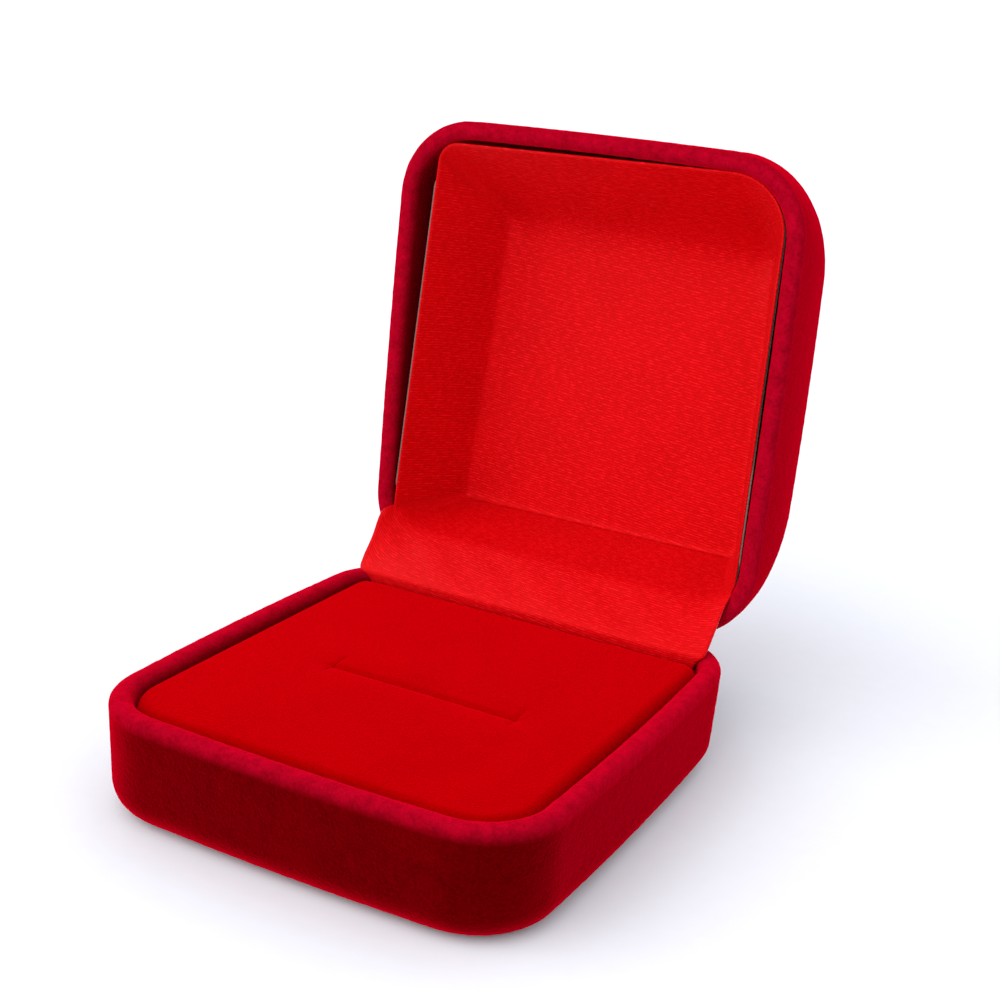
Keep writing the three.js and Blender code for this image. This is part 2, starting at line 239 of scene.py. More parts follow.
def arc_pairs(radius, steps=8):
    """[inset, drop] pairs of a quarter round from the side (0, radius) to the top (radius, 0)."""
    angle = np.radians(np.linspace(0, 90, steps + 1))
    return [(radius * (1 - math.cos(a)), radius * (1 - math.sin(a))) for a in angle]


def rim_profile(wall):
    """[inset, drop] pairs over a rounded rim, from its outer to its inner face."""
    outer = arc_pairs(RIM_ROUND)
    return outer + [(wall - inset, drop) for inset, drop in reversed(outer)]


def block(low, high):
    """Closed helper box in millimetres, for cutting."""
    low, high = np.array(low, float), np.array(high, float)
    corners = [(x, y, z) for x in (0, 1) for y in (0, 1) for z in (0, 1)]
    points = [low + (high - low) * np.array(c) for c in corners]
    faces = [(0, 1, 3, 2), (4, 6, 7, 5), (0, 4, 5, 1), (2, 3, 7, 6), (0, 2, 6, 4), (1, 5, 7, 3)]
    return make_object("cutter", points, faces, None, smooth=False)


def rod(radius, half, steps=32):
    """Closed helper cylinder along X about the pin, in millimetres."""
    angle = np.linspace(0, 2 * math.pi, steps, endpoint=False)
    circle = np.stack([np.zeros(steps), radius * np.cos(angle), radius * np.sin(angle)], 1) + PIN
    ends = [circle + [-half, 0, 0], circle + [half, 0, 0]]
    points, faces = skin(ends)
    return make_object("cutter", points, faces, None, smooth=False)


# ---------------------------------------------------------------- materials


RIB_PITCH = 0.36  # of the satin's ribs
RIB_SLANT = -0.12  # tilts the ribs off the cloth's width


class Shader:
    """Small builder for one node material."""

    def __init__(self, name):
        self.material = bpy.data.materials.new(name)
        self.material.use_nodes = True
        self.nodes = self.material.node_tree.nodes
        self.links = self.material.node_tree.links
        self.surface = self.nodes["Principled BSDF"]
        self.place = self.nodes.new("ShaderNodeTexCoord").outputs["Object"]

    def add(self, kind, **settings):
        node = self.nodes.new(kind)
        for key, value in settings.items():
            setattr(node, key, value)
        return node

    def feed(self, socket, value):
        if isinstance(value, (int, float, tuple, list)):
            socket.default_value = value
        else:
            self.links.new(value, socket)

    def noise(self, size, detail=2.0, rough=0.5, distortion=0.0, at=None):
        """Noise whose features are about size millimetres across."""
        node = self.add("ShaderNodeTexNoise")
        node.inputs["Scale"].default_value = 1 / (size * MM)
        node.inputs["Detail"].default_value = detail
        node.inputs["Roughness"].default_value = rough
        node.inputs["Distortion"].default_value = distortion
        self.links.new(at or self.place, node.inputs["Vector"])
        return node.outputs["Fac"]

    def stretch(self, scale, at=None):
        node = self.add("ShaderNodeMapping")
        node.inputs["Scale"].default_value = scale
        self.links.new(at or self.place, node.inputs["Vector"])
        return node.outputs["Vector"]

    def math(self, operation, a, b=0.0, c=0.0):
        node = self.add("ShaderNodeMath", operation=operation)
        for socket, value in zip(node.inputs, (a, b, c)):
            self.feed(socket, value)
        return node.outputs[0]

    def remap(self, value, low, high, to_low=0.0, to_high=1.0):
        node = self.add("ShaderNodeMapRange")
        for socket, number in zip(node.inputs, (value, low, high, to_low, to_high)):
            self.feed(socket, number)
        return node.outputs[0]

    def mix(self, share, first, second):
        node = self.add("ShaderNodeMix", data_type="RGBA")
        self.feed(node.inputs[0], share)
        self.feed(node.inputs[6], first)
        self.feed(node.inputs[7], second)
        return node.outputs[2]

    def bump(self, height, distance, strength=1.0, under=None):
        node = self.add("ShaderNodeBump")
        node.inputs["Strength"].default_value = strength
        node.inputs["Distance"].default_value = distance * MM
        self.links.new(height, node.inputs["Height"])
        if under is not None:
            self.links.new(under, node.inputs["Normal"])
        return node.outputs["Normal"]

    def set(self, **sockets):
        for key, value in sockets.items():
            self.feed(self.surface.inputs[key.replace("_", " ")], value)


def velvet(name, deep, lit, sheen_color, sheen_rough, grain=0.35, patch=5.0, rim_highlight=None):
    """Short flocked pile: mottled colour, a fine grain, brushed patches and a soft sheen at the edges. Where
    asked, a painted highlight pales the band along the rim, mottled by the grain.
    """
    s = Shader(name)
    fine = s.noise(grain, 3.0, 0.7)
    middle = s.noise(grain * 3.5, 2.0, 0.6)
    brushed = s.noise(patch, 2.0, 0.5, 0.6, at=s.stretch((1.0, 0.45, 1.0)))
    tone = s.math("MULTIPLY_ADD", s.remap(fine, 0.3, 0.7), 0.45, s.math("MULTIPLY", middle, 0.25))
    tone = s.math("ADD", tone, s.math("MULTIPLY", s.remap(brushed, 0.25, 0.75), 0.25))
    color = s.mix(s.remap(tone, 0.2, 0.85), (*deep, 1), (*lit, 1))
    # Painted highlight: near the rim the colour is mixed towards a paler crimson, mottled by the grain. It
    # stands in for the light the rounded rim catches.
    if rim_highlight:
        edge = s.add("ShaderNodeAttribute", attribute_name="rim_highlight").outputs["Fac"]
        highlight_mottle = s.remap(s.math("MULTIPLY_ADD", fine, 0.9, middle), 0.65, 1.2, 0.5, 1.0)
        color = s.mix(s.math("MULTIPLY", edge, highlight_mottle), color, (*rim_highlight, 1))
    low = s.bump(brushed, 0.1, 0.25)
    normal = s.bump(fine, 0.16, 0.8, low)
    s.set(Base_Color=color, Roughness=s.remap(fine, 0.3, 0.7, 0.85, 1.0), Normal=normal)
    s.set(Sheen_Weight=1.0, Sheen_Roughness=sheen_rough, Sheen_Tint=(*sheen_color, 1))
    s.set(Specular_IOR_Level=0.0)
    return s.material


def satin(name, shade, light, glint):
    """Woven satin: fine broken ribs along the cloth's width, with painted glints on bright dashes and a soft
    silky gloss.
    """
    s = Shader(name)
    cloth = s.add("ShaderNodeAttribute", attribute_name="cloth").outputs["Vector"]
    split = s.add("ShaderNodeSeparateXYZ")
    s.links.new(cloth, split.inputs[0])
    across, along = split.outputs[0], split.outputs[1]
    wander = s.noise(11.0, 1.0, 0.5, at=cloth)
    slant = s.math("MULTIPLY", across, RIB_SLANT)
    phase = s.math("DIVIDE", s.math("ADD", along, slant), RIB_PITCH * MM)
    phase = s.math("MULTIPLY_ADD", wander, 1.6, phase)
    rib = s.math("SINE", s.math("MULTIPLY", phase, 2 * math.pi))
    rib = s.math("MULTIPLY_ADD", rib, 0.5, 0.5)
    dash = s.noise(0.5, 2.0, 0.65, at=s.stretch((0.5, 1.5, 1.0), cloth))
    broken = s.math("MULTIPLY", rib, s.remap(dash, 0.36, 0.6, 0.15, 1.0))
    dashes = s.math("MULTIPLY", s.math("POWER", rib, 2.0), s.remap(dash, 0.47, 0.68))
    thread = s.noise(0.14, 1.0, 0.5, at=s.stretch((0.35, 1.0, 1.0), cloth))
    cloud = s.noise(8.0, 2.0, 0.5, at=cloth)
    tone = s.math("MULTIPLY_ADD", broken, 0.3, s.math("MULTIPLY", thread, 0.5))
    tone = s.math("MULTIPLY_ADD", s.remap(cloud, 0.3, 0.7), 0.12, tone)
    color = s.mix(s.remap(tone, 0.1, 0.75), (*shade, 1), (*light, 1))
    # Painted highlight: the dashes are mixed towards the glint colour, so a glint is painted into the
    # satin's colour.
    color = s.mix(s.math("MULTIPLY", dashes, 0.6), color, (*glint, 1))
    height = s.math("MULTIPLY_ADD", thread, 0.6, broken)
    normal = s.bump(height, 0.05, 0.6)
    s.set(Base_Color=color, Roughness=s.remap(dashes, 0.0, 1.0, 0.5, 0.33), Normal=normal)
    s.set(Specular_IOR_Level=0.5, Specular_Tint=(1.0, 0.07, 0.07, 1))
    return s.material


def card_board(name):
    """Raw grey board: short fibres and a slight stain."""
    s = Shader(name)
    fibre = s.noise(0.25, 4.0, 0.7, 0.5, at=s.stretch((1.0, 0.35, 1.0)))
    stain = s.noise(8.0, 3.0, 0.6)
    tone = s.math("MULTIPLY_ADD", fibre, 0.7, s.math("MULTIPLY", stain, 0.4))
    color = s.mix(s.remap(tone, 0.3, 0.8), (0.08, 0.05, 0.04, 1), (0.24, 0.18, 0.15, 1))
    s.set(Base_Color=color, Roughness=0.92, Normal=s.bump(fibre, 0.08, 0.8))
    s.set(Specular_IOR_Level=0.2)
    return s.material


def foam_material(name):
    """Pale open-cell foam with small pits, which are painted darker as shade in their hollows."""
    s = Shader(name)
    cells = s.add("ShaderNodeTexVoronoi", feature="SMOOTH_F1")
    cells.inputs["Scale"].default_value = 1 / (0.55 * MM)
    s.links.new(s.place, cells.inputs["Vector"])
    pits = s.remap(cells.outputs["Distance"], 0.0, 0.7)
    yellowing = s.noise(7.0, 2.0, 0.5)
    # Painted shade: the pits' darker tone stands in for the shade in the cells. The yellowing noise varies
    # the tone at random.
    tone = s.math("MULTIPLY_ADD", pits, 0.6, s.math("MULTIPLY", yellowing, 0.4))
    color = s.mix(tone, (0.5, 0.44, 0.33, 1), (0.86, 0.82, 0.72, 1))
    s.set(Base_Color=color, Roughness=0.95, Normal=s.bump(pits, 0.25, 0.9))
    return s.material


def steel(name, dark, bright, rough_low, rough_high):
    """Pressed steel: a rolled grain along X, faint blotches and fine scratches."""
    s = Shader(name)
    grain = s.noise(0.12, 3.0, 0.6, at=s.stretch((0.06, 1.0, 1.0)))
    blotch = s.noise(3.0, 3.0, 0.6)
    tone = s.math("MULTIPLY_ADD", grain, 0.55, s.math("MULTIPLY", blotch, 0.45))
    color = s.mix(s.remap(tone, 0.3, 0.7), (*dark, 1), (*bright, 1))
    s.set(Base_Color=color, Metallic=1.0, Roughness=s.remap(tone, 0.3, 0.7, rough_high, rough_low))
    s.set(Normal=s.bump(grain, 0.015, 0.6))
    return s.material


SHELL_DEEP = (0.042, 0.0, 0.0)
SHELL_LIT = (0.104, 0.0, 0.0)
SHELL_SHEEN = (1.0, 0.0, 0.02)
# Paler crimson of the painted highlight along the shells' rims.
SHELL_RIM_HIGHLIGHT = (0.40, 0.001, 0.015)
PAD_DEEP = (0.26, 0.0, 0.0)
PAD_LIT = (0.365, 0.0, 0.0)
PAD_SHEEN = (1.0, 0.0, 0.008)
SATIN_SHADE = (0.40, 0.0, 0.001)
SATIN_LIGHT = (0.66, 0.0, 0.002)
# Colour of the painted glints on the satin's dashes.
SATIN_GLINT = (0.92, 0.012, 0.02)
SHELL_FLOCK = velvet("shell_flock", SHELL_DEEP, SHELL_LIT, SHELL_SHEEN, 0.44, rim_highlight=SHELL_RIM_HIGHLIGHT)
PAD_FLOCK = velvet("pad_flock", PAD_DEEP, PAD_LIT, PAD_SHEEN, 0.46, grain=0.25, patch=9.0)
SATIN = satin("satin", SATIN_SHADE, SATIN_LIGHT, SATIN_GLINT)
CARD = card_board("card_board")
FOAM = foam_material("pad_foam")
HINGE_STEEL = steel("hinge_steel", (0.42, 0.42, 0.43), (0.74, 0.74, 0.75), 0.22, 0.42)
SPRING_STEEL = steel("spring_steel", (0.22, 0.23, 0.26), (0.5, 0.51, 0.54), 0.18, 0.35)


# ---------------------------------------------------------------- shells

NOTCH_HALF = (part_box("hinge_leaf_base")[1].x) / MM + CLEAR
NOTCH_DEPTH = 1.3  # from the pin's axis into each wall
NOTCH_PAST = 1.0  # how far the cut runs past the rim
KNUCKLE_ROOM = 1.1  # radius of the round room about the knuckles
INNER_SPACING = 1.0  # of the rings down the base's inner wall
LID_STEPS = 60
LID_INNER_STEPS = 20
LID_FIRST_RING = RIM_ROUND + PILE  # height of the dome's first ring above the rim
LEAF_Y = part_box("hinge_leaf_base")[0].y / MM


def notch_cutters(side):
    """Room for the knuckles and the leaf's tab in a back wall. side is -1 for the base and 1 for the lid."""
    low_z, high_z = sorted((PIN[2] + side * NOTCH_DEPTH, PIN[2] - side * NOTCH_PAST))
    low = [-NOTCH_HALF, LEAF_Y - CLEAR, low_z]
    return [block(low, [NOTCH_HALF, PIN[1], high_z]), rod(KNUCKLE_ROOM, NOTCH_HALF)]


def base_shell():
    rings = []

    def add(inset, z):
        drawn = inset + FOOT_TAPER * max(0, 1 - z / BASE_HEIGHT)
        rings.append(with_height(box_outline(drawn, CORNER - inset, BASE_BOW), z))

    for angle in np.radians(np.linspace(0, 90, 12)):
        add(FOOT_ROUND * (1 - math.sin(angle)), FOOT_ROUND * (1 - math.cos(angle)))
    under = shrink_to_centre(rings[0], SHELL_FILL)
    rings = list(reversed(under)) + rings
    for z in np.arange(FOOT_ROUND + PILE, BASE_HEIGHT - RIM_ROUND - 0.1, PILE):
        add(0, z)
    for inset, drop in rim_profile(BASE_WALL):
        add(inset, BASE_HEIGHT - drop)
    inner_top = BASE_HEIGHT - RIM_ROUND - INNER_SPACING
    inner_low = BASE_FLOOR + INNER_FILLET + INNER_SPACING / 2
    for z in np.arange(inner_top, inner_low, -INNER_SPACING):
        add(BASE_WALL, z)
    for angle in np.radians(np.linspace(0, 90, 5)):
        inset = BASE_WALL + INNER_FILLET * (1 - math.cos(angle))
        add(inset, BASE_FLOOR + INNER_FILLET * (1 - math.sin(angle)))
    rings += shrink_to_centre(rings[-1], HIDDEN_FILL)
    points, faces = skin(rings)
    shell = make_object("base_flocked_shell", points, faces, SHELL_FLOCK)
    roughen(shell, seed=1, lowest=0)
    cut_away(shell, notch_cutters(-1))
    # Mask for the painted highlight along the base's rim.
    mark_painted_rim_highlight(shell, BASE_HEIGHT, BASE_RIM_HIGHLIGHT)
    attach(shell, "base")
    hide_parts("base_shell")


def crown(height, full):
    """How far the dome has drawn in at a height, along a superellipse."""
    ratio = min(1.0, max(0.0, height / full))
    return CROWN_INSET * (1 - (1 - ratio**CROWN_POWER) ** (1 / CROWN_POWER))


def lid_ring(wall, height, full):
    curve = crown(height, full)
    corner = CORNER - wall + CROWN_CORNER_GAIN * (1 - math.exp(-curve * CROWN_CORNER / CROWN_CORNER_GAIN))
    return with_height(box_outline(wall + curve, corner, LID_BOW), LID_RIM_Z + height)


def dome_rings(wall, full, steps):
    """Rings up one face of the dome, closer together towards the top."""
    low = math.asin(LID_FIRST_RING / full)
    angles = np.linspace(low, math.pi / 2, steps)
    return [lid_ring(wall, full * math.sin(a), full) for a in angles]


def lid_shell():
    outer = dome_rings(0, LID_HEIGHT, LID_STEPS)
    top = shrink_to_centre(outer[-1], SHELL_FILL)
    rim = [lid_ring(inset, drop, LID_HEIGHT) for inset, drop in rim_profile(LID_WALL)]
    inner = dome_rings(LID_WALL, LID_HEIGHT - LID_TOP, LID_INNER_STEPS)
    ceiling = shrink_to_centre(inner[-1], HIDDEN_FILL)
    rings = list(reversed(outer + top)) + rim + inner + ceiling
    points, faces = skin(rings)
    faces = [tuple(reversed(face)) for face in faces]
    shell = make_object("lid_flocked_shell", points, faces, SHELL_FLOCK)
    roughen(shell, seed=2)
    cut_away(shell, notch_cutters(1))
    # Mask for the painted highlight along the lid's rim.
    mark_painted_rim_highlight(shell, LID_RIM_Z, LID_RIM_HIGHLIGHT)
    swing_open(shell)
    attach(shell, "lid")
    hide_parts("lid_shell")


def swing_open(obj):
    """Turns a closed-lid mesh to the open position."""
    to_pin = Matrix.Translation(-Vector(PIN) * MM)
    turn = Matrix.Rotation(-OPEN_ANGLE, 4, "X")
    obj.data.transform(Matrix.Translation(Vector(PIN) * MM) @ turn @ to_pin)


base_shell()
lid_shell()

# ---------------------------------------------------------------- ring pad

PAD_ROLL = 1.4
PAD_GAP = 0.3
SLIT_HALF = 12.0
SLIT_X = 1.1
SLIT_Y = -4.1
SLIT_END_Y = -3.7
SLIT_END_HALF = 2.1
SLIT_GAP = 0.05  # between the velvet lips, which close on each other
FOAM_SLIT_GAP = 0.6
COVER_THICK = 0.4
PAD_BACK_CORNER = 2.2
SMALLEST_CORNER = 0.5
PAD_CORNER_STEPS = 12
PAD_FILL = 80
SIDE_SPACING = 1.0  # of the rings up the pad's sides
PAD_CROWN = 0.35  # how far the middle stands above the edge
CROWN_FALL = 2.5  # power of the crown's fall towards the edges
TOP_BAND = 1.5  # height of the band in which the crown fades in
LIP_DIP = 0.3
LIP_REACH = 0.5
LIP_HOLLOW = 0.18
HOLLOW_REACH = 2.4
END_FADE = 3.0  # how far along an end cut its dip reaches
COVER_CUT_DEPTH = 4.0
FOAM_GAP = 0.15
FOAM_SPACING = 1.2
FOAM_FILL = 30
FOAM_SLIT_FLOOR = 5.0
CUT_PAST = 2.0  # how far a cut runs past the pad's top


def slit_segments():
    """The long cut and the short cut across each of its ends, as pairs of points."""
    ends = [SLIT_X - SLIT_HALF, SLIT_X + SLIT_HALF]
    crossings = [((x, SLIT_END_Y - SLIT_END_HALF), (x, SLIT_END_Y + SLIT_END_HALF)) for x in ends]
    return [((ends[0], SLIT_Y), (ends[1], SLIT_Y))] + crossings


def distance_to(points, segment):
    """Distance of each point to a segment, in plan."""
    a, b = np.array(segment[0]), np.array(segment[1])
    along = np.clip(((points - a) @ (b - a)) / ((b - a) @ (b - a)), 0, 1)
    return np.linalg.norm(points - a - along[:, None] * (b - a), axis=1)


def pad_rings(shrink, top, bottom, step, fill_steps):
    """Rings of the pad's outside, drawn in by shrink, from its lower edge up and in to its middle."""
    side = BASE_WALL + PAD_GAP + shrink

    def ring(inset, z):
        lean = inset + FOOT_TAPER * (1 - z / BASE_HEIGHT)  # the sides lean in with the base's walls
        half_width = WIDTH / 2 - side - lean
        front, back = side + lean - DEPTH / 2, pad_high[1] - shrink - inset
        front_corner = max(CORNER - side - inset, SMALLEST_CORNER)
        back_corner = max(PAD_BACK_CORNER - shrink - inset, SMALLEST_CORNER)
        sides = (-half_width, half_width, front, back)
        return with_height(outline(sides, front_corner, back_corner, 0.0, PAD_CORNER_STEPS, step), z)

    rings = [ring(0, z) for z in np.arange(bottom, top - PAD_ROLL, SIDE_SPACING)]
    rings += [ring(inset, top - drop) for inset, drop in arc_pairs(PAD_ROLL, 10)]
    return rings + shrink_to_centre(rings[-1], fill_steps)


def slit_cutters(low, gap):
    cutters = []
    for (x0, y0), (x1, y1) in slit_segments():
        low_corner = [min(x0, x1) - gap / 2, min(y0, y1) - gap / 2, low]
        high_corner = [max(x0, x1) + gap / 2, max(y0, y1) + gap / 2, BASE_HEIGHT + CUT_PAST]
        cutters.append(block(low_corner, high_corner))
    return cutters


def crown_and_lips(points, top):
    """Raises the pad's middle a little and lets the cloth dip along the slit."""
    main, *ends = [distance_to(points[:, :2], s) for s in slit_segments()]
    near_end = np.min(ends, axis=0)
    fading = np.exp(-(((points[:, 1] - SLIT_Y) / END_FADE) ** 2))
    lips = LIP_DIP * np.exp(-((main / LIP_REACH) ** 2)) + LIP_HOLLOW * np.exp(-((main / HOLLOW_REACH) ** 2))
    lips = np.maximum(lips, LIP_DIP * fading * np.exp(-((near_end / LIP_REACH) ** 2)))
    half = np.array([pad_high[0], (pad_high[1] - pad_low[1]) / 2])
    centre = np.array([0, (pad_high[1] + pad_low[1]) / 2])
    out = np.clip(np.abs(points[:, :2] - centre) / half, 0, 1)
    crowned = PAD_CROWN * (1 - out[:, 0] ** CROWN_FALL) * (1 - out[:, 1] ** CROWN_FALL)
    on_top = np.clip((points[:, 2] - (top - TOP_BAND)) / TOP_BAND, 0, 1)
    raised = points.copy()
    raised[:, 2] += on_top * (crowned - lips)
    return raised


def ring_pad():
    """The velvet cover, open below, and the foam block inside it."""
    top, bottom = pad_high[2], pad_low[2]
    outside = pad_rings(0.0, top, bottom, PILE, PAD_FILL)
    inner_top = top - COVER_THICK
    inside = pad_rings(COVER_THICK, inner_top, bottom, PILE, PAD_FILL)
    outside = [crown_and_lips(ring, top) for ring in outside]
    inside = [crown_and_lips(ring, inner_top) for ring in inside]
    points, faces = skin(list(reversed(inside)) + outside)
    cover = make_object("pad_velvet_cover", points, faces, PAD_FLOCK)
    cut_away(cover, slit_cutters(inner_top - COVER_CUT_DEPTH, SLIT_GAP))
    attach(cover, "base")
    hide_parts("pad_cover")

    foam_top = inner_top - FOAM_GAP
    rings = pad_rings(COVER_THICK + FOAM_GAP, foam_top, bottom, FOAM_SPACING, FOAM_FILL)
    points, faces = skin([crown_and_lips(ring, foam_top) for ring in rings])
    foam = make_object("pad_foam_block", points, faces, FOAM)
    cut_away(foam, slit_cutters(FOAM_SLIT_FLOOR, FOAM_SLIT_GAP))
    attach(foam, "base")
    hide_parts("ring_pad")


ring_pad()

# ---------------------------------------------------------------- lid lining

LINING_EDGE = 0.7  # cloth's edge above the closed lid's rim plane
LINING_DEPTH = 12.5
SATIN_THICK = 0.22
CARD_GAP = 0.03
CARD_THICK = 0.2
CARD_SETBACK = 0.06  # share of the slope by which the card is short where it doesn't show
# Corners go left front, right front, right back, left back, in the closed lid.
RIM_CORNERS = [(-22.0, -26.9), (24.7, -27.65), (24.7, 25.2), (-24.7, 25.2)]
RIM_RADII = [2.4, 7.0, 3.8, 3.4]
FLOOR_CORNERS = [(-16.7, -17.6), (20.6, -17.6), (20.6, 22.0), (-19.8, 22.0)]
FLOOR_RADII = [0.8, 1.6, 1.2, 0.8]
PANEL_STEPS = 34
LINING_CORNER_STEPS = 14
LINING_SIDE_STEPS = 96
LINING_FILL = 60
CREASE_ROUNDS = 160
EVEN_ROUNDS = 6  # first rounds, in which every crease is rounded alike
LEFT_SOFTNESS = 0.12
MITRE_SOFTNESS = 0.12


def rounded_polygon(corners, radii, corner_steps, side_steps):
    """Counter-clockwise outline with a round of its own radius at each corner."""
    count = len(corners)
    points = []
    arcs = []
    for i in range(count):
        here = np.array(corners[i])
        before = np.array(corners[i - 1]) - here
        after = np.array(corners[(i + 1) % count]) - here
        before, after = before / np.linalg.norm(before), after / np.linalg.norm(after)
        half = math.acos(float(np.clip(before @ after, -1, 1))) / 2
        reach = radii[i] / math.tan(half)
        middle = here + (before + after) / np.linalg.norm(before + after) * radii[i] / math.sin(half)
        first, last = here + before * reach - middle, here + after * reach - middle
        start = math.atan2(first[1], first[0])
        turn = (math.atan2(last[1], last[0]) - start) % (2 * math.pi)
        angle = start + turn * np.linspace(0, 1, corner_steps + 1)
        arcs.append(middle + radii[i] * np.stack([np.cos(angle), np.sin(angle)], 1))
    for i, arc in enumerate(arcs):
        points.append(arc)
        along = np.linspace(0, 1, side_steps + 1)[1:-1, None]
        points.append(arc[-1] + (arcs[(i + 1) % count][0] - arc[-1]) * along)
    return np.concatenate(points)


def lining_outline(corners, radii, height):
    flat = rounded_polygon(corners, radii, LINING_CORNER_STEPS, LINING_SIDE_STEPS)
    return with_height(flat, LID_RIM_Z + height)


def lining_grid(edge_drop=None):
    """Rings from the lining's edge in to its floor's middle, and each point's place on the flat cloth."""
    rim = lining_outline(RIM_CORNERS, RIM_RADII, LINING_EDGE)
    floor = lining_outline(FLOOR_CORNERS, FLOOR_RADII, LINING_DEPTH)
    if edge_drop is not None:
        rim = rim + (floor - rim) * edge_drop(rim)[:, None]
    along = np.roll(floor, -1, 0)[:, :2] - np.roll(floor, 1, 0)[:, :2]
    along /= np.linalg.norm(along, axis=1)[:, None]
    outward = np.stack([along[:, 1], -along[:, 0]], 1)
    reach = rim - floor
    slope = np.hypot((reach[:, :2] * outward).sum(1), reach[:, 2])
    shift = (reach[:, :2] * along).sum(1)
    flat = outward * slope[:, None] + along * shift[:, None]
    rings, cloth = [], []
    for share in np.linspace(1, 0, PANEL_STEPS + 1):
        rings.append(floor + (rim - floor) * share)
        cloth.append(with_height(floor[:, :2] + flat * share, 0))
    for ring in shrink_to_centre(floor, LINING_FILL):
        rings.append(ring)
        cloth.append(with_height(ring[:, :2], 0))
    return soften_creases(np.array(rings)), np.concatenate(cloth)


def soften_creases(grid):
    """Rounds the folds by height: each a little, the left one more, the front one into a wide sweep."""
    sharp_mitre = np.clip((grid[:, :, 0] + 18) / 6, MITRE_SOFTNESS, 1)
    front = np.clip((-grid[:, :, 1] - 8) / 6, 0, 1) * sharp_mitre
    left = LEFT_SOFTNESS * np.clip((-grid[:, :, 0] - 11) / 5, 0, 1)
    soft = np.maximum(front, left)[1:-1]
    height = grid[:, :, 2]
    for turn in range(CREASE_ROUNDS):
        mean = (np.roll(height, 1, 1) + np.roll(height, -1, 1)) / 4
        mean[1:-1] += (height[:-2] + height[2:]) / 4
        pull = soft if turn >= EVEN_ROUNDS else 1.0
        height[1:-1] += 0.5 * pull * (mean[1:-1] - height[1:-1])
    return grid


def card_setback(rim):
    """Share of the slope by which the card falls short. It shows at the left and the right rear."""
    hidden_front = np.clip((-rim[:, 1] - 21.5) / 3, 0, 1)
    hidden_back = np.clip((rim[:, 1] - 19) / 2, 0, 1)
    hidden_right = np.clip((rim[:, 0] - 20) / 2, 0, 1) * np.clip((8 - rim[:, 1]) / 8, 0, 1)
    return CARD_SETBACK * np.max([hidden_front, hidden_back, hidden_right], axis=0)


def set_cloth(obj, cloth):
    """Stores each vertex's place on the flat cloth, which the satin's weave follows."""
    attribute = obj.data.attributes.new("cloth", "FLOAT_VECTOR", "POINT")
    attribute.data.foreach_set("vector", (np.asarray(cloth, float) * MM).ravel())


def facing_in(obj):
    """Makes a closed lid's lining face down, into the lid's hollow."""
    if sum(p.normal.z * p.area for p in obj.data.polygons) > 0:
        obj.data.flip_normals()


def solidify(obj, thickness, offset=-1.0):
    thick = obj.modifiers.new("thick", "SOLIDIFY")
    thick.thickness = thickness * MM
    thick.offset = offset
    thick.use_even_offset = True
    apply_modifiers(obj)


def lining_sheet(name, material, grid, cloth):
    points, faces = skin(list(grid), closed_ends=False)
    faces.append(tuple(range(len(points) - grid.shape[1], len(points))))
    sheet = make_object(name, points, faces, material)
    set_cloth(sheet, cloth)
    facing_in(sheet)
    return sheet


def lid_lining():
    grid, cloth = lining_grid()
    silk = lining_sheet("lid_satin_lining", SATIN, grid, cloth)
    solidify(silk, SATIN_THICK)
    board = lining_sheet("lid_lining_card", CARD, *lining_grid(card_setback))
    normals = [vertex.normal.copy() for vertex in board.data.vertices]
    for vertex, normal in zip(board.data.vertices, normals):
        vertex.co -= normal * (SATIN_THICK + CARD_GAP) * MM
    solidify(board, CARD_THICK)
    for obj, node, slot in ((silk, "lining_satin", "satin"), (board, "lining_card", "card")):
        swing_open(obj)
        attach(obj, "lid")
        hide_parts(node)


lid_lining()

# ---------------------------------------------------------------- hinge flap and spring

FLAP_THICK = 0.2
FLAP_COLUMNS = 131
FLAP_ROWS = 86
CORNER_BEND = 6.2
MOST_BEND = 0.98  # share of the bend that the strip's ends may reach
STRAIGHT_TO = ((-1, 19.4), (1, 20.0))  # where the bend begins at each side
SPAN_STEPS = 30  # between two given rows of a strip
RIPPLE_FROM = 24.2
RIPPLE_TO = 30.2
RIPPLE_FADE = 1.5
SPRING_THICK = 0.25
SPRING_COLUMNS = 9
SPRING_ROWS = 60


def smooth_path(points, steps):
    """Evenly spaced points along centripetal splines through a few rows of points, with the lengths run."""
    p = np.array(points, float)
    p = np.concatenate([2 * p[:1] - p[1:2], p, 2 * p[-1:] - p[-2:-1]])
    middle = p.shape[1] // 2
    found = []
    for i in range(1, len(p) - 2):
        knots = [0.0]
        for k in range(3):
            gap = np.linalg.norm(p[i + k, middle] - p[i + k - 1, middle])
            knots.append(knots[-1] + math.sqrt(gap))
        t0, t1, t2, t3 = knots
        for t in np.linspace(t1, t2, SPAN_STEPS, endpoint=False):
            a1 = (t1 - t) / (t1 - t0) * p[i - 1] + (t - t0) / (t1 - t0) * p[i]
            a2 = (t2 - t) / (t2 - t1) * p[i] + (t - t1) / (t2 - t1) * p[i + 1]
            a3 = (t3 - t) / (t3 - t2) * p[i + 1] + (t - t2) / (t3 - t2) * p[i + 2]
            b1 = (t2 - t) / (t2 - t0) * a1 + (t - t0) / (t2 - t0) * a2
            b2 = (t3 - t) / (t3 - t1) * a2 + (t - t1) / (t3 - t1) * a3
            found.append((t2 - t) / (t2 - t1) * b1 + (t - t1) / (t2 - t1) * b2)
    found = np.array(found + [p[-2]])
    runs = np.linalg.norm(np.diff(found, axis=0), axis=2)
    lengths = np.concatenate([np.zeros((1, p.shape[1])), np.cumsum(runs, axis=0)])
    even = np.empty((steps, p.shape[1], 3))
    at = np.linspace(0, lengths[-1], steps)
    for column in range(p.shape[1]):
        for axis in range(3):
            even[:, column, axis] = np.interp(at[:, column], lengths[:, column], found[:, column, axis])
    return even, at


